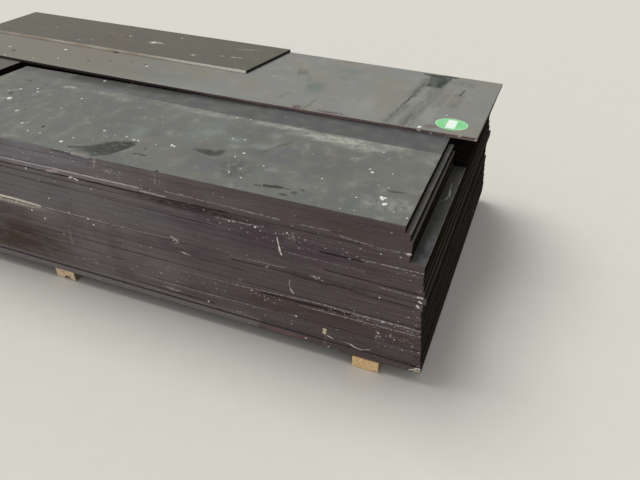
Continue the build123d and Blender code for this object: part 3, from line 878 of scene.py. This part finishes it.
# Plaster crumbs that lie on the sheets: (x, y, width)
crumbs = {
    "front_sheet_01": [(-1763, 281, 20), (-1648, 200, 13), (-1309, 55, 13), (-1227, 182, 11),
                       (-1085, 160, 10), (-940, 174, 10), (-929, 172, 8), (-685, 215, 10),
                       (-248, 252, 10), (-262, 271, 7), (-176, 116, 16), (-166, 118, 12),
                       (-157, 84, 16), (-170, 108, 9), (-1500, 389, 9), (-1508, 282, 8),
                       (-1796, 374, 12), (-1736, 404, 10), (-1713, 379, 9), (-1548, 124, 9),
                       (-1480, 79, 7), (-1428, 82, 7), (-1292, 95, 6), (-1170, 166, 5),
                       (-1124, 172, 7), (-1069, 162, 8), (-996, 159, 5), (-702, 183, 6),
                       (-772, 298, 8), (-730, 307, 7), (-841, 460, 7), (-787, 463, 7), (-586, 161, 6),
                       (-671, 86, 6), (-618, 66, 6), (-254, 400, 6), (-174, 181, 6), (-206, 184, 4),
                       (-247, 92, 6), (-382, 157, 6), (-187, 269, 5), (-122, 56, 5), (-79, 39, 6),
                       (-271, 17, 5), (-1538, 579, 10)],
    "top_board": [(-2224, 750, 13), (-1944, 814, 14), (-1458, 770, 13), (-2000, 662, 8), (-1895, 705, 8),
                  (-2087, 716, 5), (-185, 609, 15)],
}

# Pale flecks that stick to the front: (x, z, width)
flecks = [(-129, 330, 5), (-112, 238, 6), (-124, 181, 6), (-70, 169, 5), (-412, 152, 7), (-376, 64, 6),
          (-293, 54, 5), (-574, 218, 7), (-754, 108, 6), (-642, 93, 6), (-1225, 344, 7),
          (-1204, 324, 7), (-1438, 293, 7), (-1491, 318, 7), (-1385, 394, 5), (-1474, 366, 5),
          (-829, 303, 5), (-636, 484, 6), (-620, 486, 5), (-544, 485, 7), (-435, 491, 6),
          (-140, 512, 6), (-136, 495, 4), (-346, 344, 5), (-329, 344, 5), (-1457, 502, 7),
          (-1240, 507, 7), (-1174, 481, 5), (-1310, 352, 5), (-1560, 340, 6)]


# Crumbs are lumps pressed flat, and the flecks on the front are flatter. A pair is the least and
# a random part more; height and fleck are thicknesses, to the width
lumpShape = {"scale": 1.35, "lumpy": (0.8, 0.35), "narrow": (0.55, 0.35), "height": 0.44, "fleck": 0.16,
             "raised": 0.05, "proud": 0.3}


def loosePlaster(places, seed, flat):
    # small lumps: each is a jittered ball, pressed flat along one axis
    rng = np.random.default_rng(seed)
    ball = bmesh.new()
    bmesh.ops.create_icosphere(ball, subdivisions=1, radius=1.0)
    shape = np.array([v.co for v in ball.verts])
    faces = [[v.index for v in f.verts] for f in ball.faces]
    ball.free()
    points, sides = [], []
    least, more = lumpShape["lumpy"]
    narrow, wider = lumpShape["narrow"]
    for place, width in places:
        lump = shape * (least + more * rng.random((len(shape), 1)))
        if flat == "z":
            size = np.array([1.0, narrow + wider * rng.random(), lumpShape["height"]])
        else:
            size = np.array([1.0, lumpShape["fleck"], 1.0])
        turn = rng.random() * math.pi
        lump = lump * size * width / 2 * mm * lumpShape["scale"]
        if flat == "z":
            c, s = math.cos(turn), math.sin(turn)
            lump[:, :2] = lump[:, :2] @ np.array([[c, -s], [s, c]])
        sides += [[i + len(shape) * len(points) for i in f] for f in faces]
        points.append(lump + np.array(place))
    return np.concatenate(points), sides


def plasterOn(node, outline, seed):
    # crumbs that lie on a sheet, and flecks stuck to the front of the packets that show
    low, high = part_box(node)
    cornerX, cornerY = stackCorner[:2]
    lying = [((cornerX + x * mm, cornerY + y * mm, high.z + lumpShape["raised"] * w * mm), w)
             for x, y, w in crumbs.get(node, [])]
    pieces = [loosePlaster(lying, seed, "z")] if lying else []
    front = sorted(tuple(p) for p in outline[outline[:, 1] < outline[:, 1].min() + 50 * mm])
    stuck = []
    for x, z, w in flecks:
        metreX = cornerX + x * mm
        if low.z < z * mm < high.z and outline[:, 0].min() < metreX < outline[:, 0].max():
            y = float(np.interp(metreX, [p[0] for p in front], [p[1] for p in front]))
            stuck.append(((metreX, y + lumpShape["proud"] * mm, z * mm), w))
    if stuck and node.startswith(("full_sheet", "front_sheet")):
        pieces.append(loosePlaster(stuck, seed + 1, "y"))
    return pieces


def edgeRows(wear, thick):
    # rows of points from the top, over the edge, to the bottom: each is so far in from the edge
    # and so far down from the top
    arris = wear["arris"] * mm
    upper = [(setIn * mm, 0.0) for setIn in wear["film"]]
    upper += [(across * arris, down * arris) for across, down in wear["arrisShape"]]
    drops = np.linspace(arris, thick - arris, wear["sideRows"] + 2)[1:-1]
    lower = [(inset, thick - drop) for inset, drop in reversed(upper)]
    return np.array(upper + [(wear["sideInset"] * mm, drop) for drop in drops] + lower)


def wearEdge(node, wear, rng, outline, inset, drop, thick):
    # sets the rows further in where the edge is worn, and gives how fresh each point's chip is
    points, along, total = outline[0], outline[2], outline[3]
    rows, count = inset.shape
    sides = slice(2, rows - 2)

    # saw marks, and plies that stand a little back from each other
    waviness = np.abs(wander(rng, along, total, wear["waveLength"] * mm)) * wear["wave"] * mm
    for r in range(2, rows - 2):
        ply = np.abs(wander(rng, along, total, wear["plyWave"] * mm)) * wear["plyShares"][r % 2]
        inset[r] += waviness + ply * wear["plyStep"] * mm * (1 if 3 < r < rows - 4 else 0.5)

    # chips along both arrises, and the damage that stands out
    chips = []
    for _ in range(int(total * wear["chipsPerMetre"])):
        half = rng.uniform(*wear["chipHalf"]) * rng.random() + 2
        depth = rng.uniform(*wear["chipDepth"])
        height = rng.choice([0.0, thick / mm])
        fresh = wear["freshness"] if rng.random() < wear["freshShare"] else 0.0
        chips.append((rng.random() * total, half, depth, height, 1 + depth, fresh))
    for x, y, half, depth, height, reach, fresh in damage.get(node, []):
        away = points - np.array(stackCorner[:2]) - np.array([x, y]) * mm
        chips.append((along[np.argmin(np.linalg.norm(away, axis=1))], half, depth, height, reach, fresh))
    chipped = np.zeros_like(inset)
    for at, half, depth, height, reach, fresh in chips:
        away = np.abs((along - at + total / 2) % total - total / 2)
        lengthwise = np.clip(1 - (away / (half * mm)) ** 2, 0, 1) ** 0.5
        jagged = 1 - wear["jagged"] + wear["jagged"] * rng.random(count)
        strength = lengthwise * jagged * np.exp(-((drop - height * mm) / (reach * mm)) ** 2)
        inset[sides] += (strength * (depth * mm))[sides]
        chipped = np.maximum(chipped, strength * fresh)
    for row, nearer, gap in ((1, 2, 1.0), (-2, -3, 1.0), (0, 1, 2.0), (-1, -2, 2.0)):
        inset[row] = np.maximum(inset[row], inset[nearer] + gap * mm)
    chipped[[0, 1, -2, -1]] = 0.0
    return chipped


def sheetPiece(node, wear, faceMaterial, edgeMaterial):
    low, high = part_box(node)
    thick = high.z - low.z
    seed = sum(ord(c) * (i + 1) for i, c in enumerate(node))
    rng = np.random.default_rng(seed)
    corners = outlineOf(node)
    outline = walkOutline(corners, {side: step * mm for side, step in wear["steps"].items()})
    points, inward = outline[:2]
    count = len(points)
    rows = edgeRows(wear, thick)
    inset, drop = (rows[:, [i]] * np.ones(count) for i in (0, 1))
    chipped = wearEdge(node, wear, rng, outline, inset, drop, thick).reshape(-1)

    flat = points[None] + inward[None] * inset[:, :, None]
    skin = np.concatenate([flat, (high.z - drop)[:, :, None]], axis=2).reshape(-1, 3)
    faces = tubeFaces(len(rows), count)
    kinds = [0 if r < 2 or r > len(rows) - 4 else 1 for r in range(len(rows) - 1) for _ in range(count)]
    kinds += [0, 0]                      # 0 is the film, 1 the edge and 2 the plaster
    for extra, extraFaces in plasterOn(node, corners, seed):
        faces += [[i + len(skin) for i in f] for f in extraFaces]
        kinds += [2] * len(extraFaces)
        skin = np.concatenate([skin, extra])
        chipped = np.concatenate([chipped, np.zeros(len(extra))])

    mesh = makeMesh(node, skin, faces, (faceMaterial, edgeMaterial, plaster))
    mesh.polygons.foreach_set("material_index", kinds)
    mesh.polygons.foreach_set("use_smooth", [True] * len(faces))
    for name, values in (("chip", chipped), ("tone", np.full(len(skin), rng.random()))):
        mesh.attributes.new(name, "FLOAT", "POINT").data.foreach_set("value", values.astype(np.float32))
    addPiece(node, mesh)


def markedEdge(node):                    # the sealed edge with the marks at this sheet's height
    low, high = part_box(node)
    return sealedEdge("sealed_ply_edge_" + node, sheetEdge, low.z / mm, high.z / mm)


print("full sheets")
nodes = sorted(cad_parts)
for node in nodes:
    if node.startswith("full_sheet"):
        face = film["ledge"] if node.endswith("01") else film["plain"]
        sheetPiece(node, sheetWear, face, markedEdge(node))

print("front packet, offcuts and back packet")
for node in nodes:
    if node.startswith(("front_sheet", "offcut")):
        face = film["front"] if node == "front_sheet_01" else film["plain"]
        side = markedEdge(node) if node.startswith("front") else edge["sheet"]
        sheetPiece(node, packetWear, face, side)
    if node.startswith("back_sheet"):
        sheetPiece(node, innerWear, film["plain"], edge["inner"])

print("board and strip")
sheetPiece("top_board", boardWear, film["board"], edge["board"])
sheetPiece("top_strip", boardWear, film["strip"], edge["strip"])

# Bearers: sawn on all sides, with worn long edges, in millimetres. The middle one has lost a
# chunk below its front end
bearerCut = {"ring": 7, "length": 14, "rough": 0.35, "edge": 2.0, "endInset": 1.2, "bulge": 0.35,
             "capRings": (0.9, 0.6, 0.3)}
missingChunk = {"node": "bearer_middle", "x": (-1440, -1401), "height": 17, "reach": 30,
                "fade": (6, 8), "uneven": (0.8, 0.25)}


def bearerPiece(node):
    low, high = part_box(node)
    rng = np.random.default_rng(sum(ord(c) for c in node))
    cut = bearerCut["edge"] * mm
    wide, tall = high.x - low.x, high.z - low.z
    # the section: a rectangle with cut corners, walked anticlockwise as seen from the front
    corners = np.array([(cut, 0), (wide - cut, 0), (wide, cut), (wide, tall - cut),
                        (wide - cut, tall), (cut, tall), (0, tall - cut), (0, cut)])
    steps = dict.fromkeys(("front", "right", "hidden"), bearerCut["ring"] * mm)
    section, inward = walkOutline(corners, steps)[:2]
    count = len(section)

    def ring(flat, y):                   # points of the section at one or more places along the bearer
        return np.stack([low.x + flat[:, 0], np.zeros(count) + y, low.z + flat[:, 1]], 1)

    stations = np.linspace(low.y, high.y, round((high.y - low.y) / (bearerCut["length"] * mm)) + 1)
    rings = []
    for y in stations:
        depth = np.abs(rng.standard_normal(count)) * bearerCut["rough"] * mm
        if y in (low.y, high.y):
            depth += bearerCut["endInset"] * mm
        rings.append(ring(section + inward * depth[:, None], y))
    caps = {}
    middle = np.array([wide / 2, tall / 2])
    for end, way in ((low.y, 1), (high.y, -1)):
        caps[end] = []
        for shrink in bearerCut["capRings"]:
            bulge = np.abs(rng.standard_normal(count)) * bearerCut["bulge"] * mm
            caps[end].append(ring(middle + (section - middle) * shrink, end + way * bulge))
    order = caps[low.y][::-1] + rings + caps[high.y]
    points = np.concatenate(order)
    if node == missingChunk["node"]:
        left, right = (stackCorner[0] + x * mm for x in missingChunk["x"])
        fadeX, fadeY = (fade * mm for fade in missingChunk["fade"])
        inX = np.clip(np.minimum(points[:, 0] - left, right - points[:, 0]) / fadeX, 0, 1)
        inY = np.clip((low.y + missingChunk["reach"] * mm - points[:, 1]) / fadeY, 0, 1)
        least, more = missingChunk["uneven"]
        lift = missingChunk["height"] * mm * inX * inY * (least + more * rng.random(len(points)))
        points[:, 2] = np.maximum(points[:, 2], lift)
    mesh = makeMesh(node, points, tubeFaces(len(order), count, flipped=True), [wood[node]])
    addPiece(node, mesh)


print("bearers")
for node in nodes:
    if node.startswith("bearer"):
        bearerPiece(node)

# The label: paper pressed onto the board, with a slightly lifted rim
labelRings = {"count": 12, "around": 96, "seed": 5, "underside": 0.02,
              "lift": 0.35, "ripple": 0.7, "curl": 6}    # a high curl lifts only the outermost rim


def labelPiece(node):
    low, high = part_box(node)
    rim = outlineOf(node)
    middle = (rim.min(0) + rim.max(0)) / 2
    spread = rim - middle
    span = np.linalg.norm(spread, axis=1)
    turn = math.atan2(*spread[np.argmax(span)][::-1])
    turn = (turn + math.pi / 2) % math.pi - math.pi / 2
    halfSize = np.array([span.max(), span.min()])
    rng = np.random.default_rng(labelRings["seed"])
    n = labelRings["around"]
    angles = np.linspace(0, 2 * math.pi, n, endpoint=False)
    points = [(middle[0], middle[1], high.z)]
    ripple = wander(rng, angles, 2 * math.pi, labelRings["ripple"])
    for k in range(1, labelRings["count"] + 1):
        share = k / labelRings["count"]
        x, y = halfSize[0] * share * np.cos(angles), halfSize[1] * share * np.sin(angles)
        lift = labelRings["lift"] * mm * np.maximum(ripple, 0) * share ** labelRings["curl"]
        points += list(zip(middle[0] + x * math.cos(turn) - y * math.sin(turn),
                           middle[1] + x * math.sin(turn) + y * math.cos(turn), high.z + lift))
    faces = [(0, 1 + i, 1 + (i + 1) % n) for i in range(n)]
    # the rings, then the rim's cut side and the underside, which close the paper
    last = 1 + (labelRings["count"] - 1) * n
    points += [(x, y, low.z + labelRings["underside"] * mm) for x, y, z in points[last:last + n]]
    for a in range(1, last + 1, n):
        b = a + n
        faces += [(a + i, b + i, b + (i + 1) % n, a + (i + 1) % n) for i in range(n)]
    faces.append([last + n + i for i in reversed(range(n))])
    centre = [(a - b) / mm for a, b in zip((*middle, high.z), stackCorner)]
    paper = printedPaper("printed_label_paper", labelPaper, centre, halfSize / mm, turn)
    addPiece(node, makeMesh(node, points, faces, [paper]))


print("label")
labelPiece("oval_label")

# Floor, light and camera
stageLook = {"floor": "#d9d5cc", "speckle": "#cfcac0", "floorSize": 30, "sky": "#fbfdff",
             "worldLight": 0.49, "sunLight": 1.95, "sunAngle": 38, "sunFrom": (-0.46, 0.13, 0.88)}
view = {"place": (1.4513, -1.9618, 1.5283), "heading": -21.53, "pitch": 35.75, "roll": -0.29,
        "focalLength": 590.2, "imageWidth": 640, "sensor": 36}    # the focal length is in pixels


def makeFloor():
    half = stageLook["floorSize"] / 2
    corners = [(-half, -half, 0), (half, -half, 0), (half, half, 0), (-half, half, 0)]
    material, tree, place = startMaterial("pale_floor")
    speckle = grain(tree, place, 90)
    colour = layer(tree, stageLook["floor"], stageLook["speckle"], speckle, 0.3, 0.7, 0.0, 0.15)
    finishMaterial(material, colour, 0.9, gloss=0.2)
    floor = bpy.data.objects.new("floor", makeMesh("floor", corners, [(0, 1, 2, 3)], [material]))
    bpy.context.scene.collection.objects.link(floor)


def lightScene():
    # an even sky, and a broad soft lamp from above, on the left
    world = bpy.data.worlds.new("studio")
    bpy.context.scene.world = world
    world.use_nodes = True
    tree = world.node_tree
    tree.nodes.clear()
    sky = addNode(tree, "Background", (stageLook["sky"], stageLook["worldLight"]))
    backdrop = addNode(tree, "Background", (stageLook["floor"], 1.0))
    rays = addNode(tree, "LightPath").node.outputs
    seen = rays["Is Camera Ray"]
    for ray in ("Is Glossy Ray", "Is Transmission Ray"):
        seen = addNode(tree, "Math", (seen, rays[ray]), operation="MAXIMUM")
    output = tree.nodes.new("ShaderNodeOutputWorld")
    tree.links.new(addNode(tree, "MixShader", (seen, sky, backdrop)), output.inputs[0])
    lamp = bpy.data.lights.new("soft_lamp", "SUN")
    lamp.energy = stageLook["sunLight"]
    lamp.angle = math.radians(stageLook["sunAngle"])
    lampObject = bpy.data.objects.new("soft_lamp", lamp)
    bpy.context.scene.collection.objects.link(lampObject)
    toLamp = np.array(stageLook["sunFrom"])
    toLamp = toLamp / np.linalg.norm(toLamp)
    side = np.cross((0, 0, 1), toLamp)
    side = side / np.linalg.norm(side)
    up = np.cross(toLamp, side)
    lampObject.matrix_world = Matrix([(side[i], up[i], toLamp[i], 0) for i in range(3)] + [(0, 0, 0, 1)])


def placeCamera():
    heading, pitch, roll = (math.radians(view[k]) for k in ("heading", "pitch", "roll"))
    ahead = np.array([math.sin(heading), math.cos(heading), 0.0])
    forward = ahead * math.cos(pitch) - np.array([0.0, 0.0, math.sin(pitch)])
    level = np.array([math.cos(heading), -math.sin(heading), 0.0])
    down = np.cross(forward, level)
    right = math.cos(roll) * level + math.sin(roll) * down
    upward = math.sin(roll) * level - math.cos(roll) * down
    data = bpy.data.cameras.new("camera")
    data.sensor_width = view["sensor"]
    data.lens = view["focalLength"] * view["sensor"] / view["imageWidth"]
    camera = bpy.data.objects.new("camera", data)
    bpy.context.scene.collection.objects.link(camera)
    rows = [(right[i], upward[i], -forward[i], view["place"][i]) for i in range(3)]
    camera.matrix_world = Matrix(rows + [(0, 0, 0, 1)])
    bpy.context.scene.camera = camera


print("floor, light and camera")
makeFloor()
lightScene()
placeCamera()
bpy.context.scene.view_settings.view_transform = "Standard"
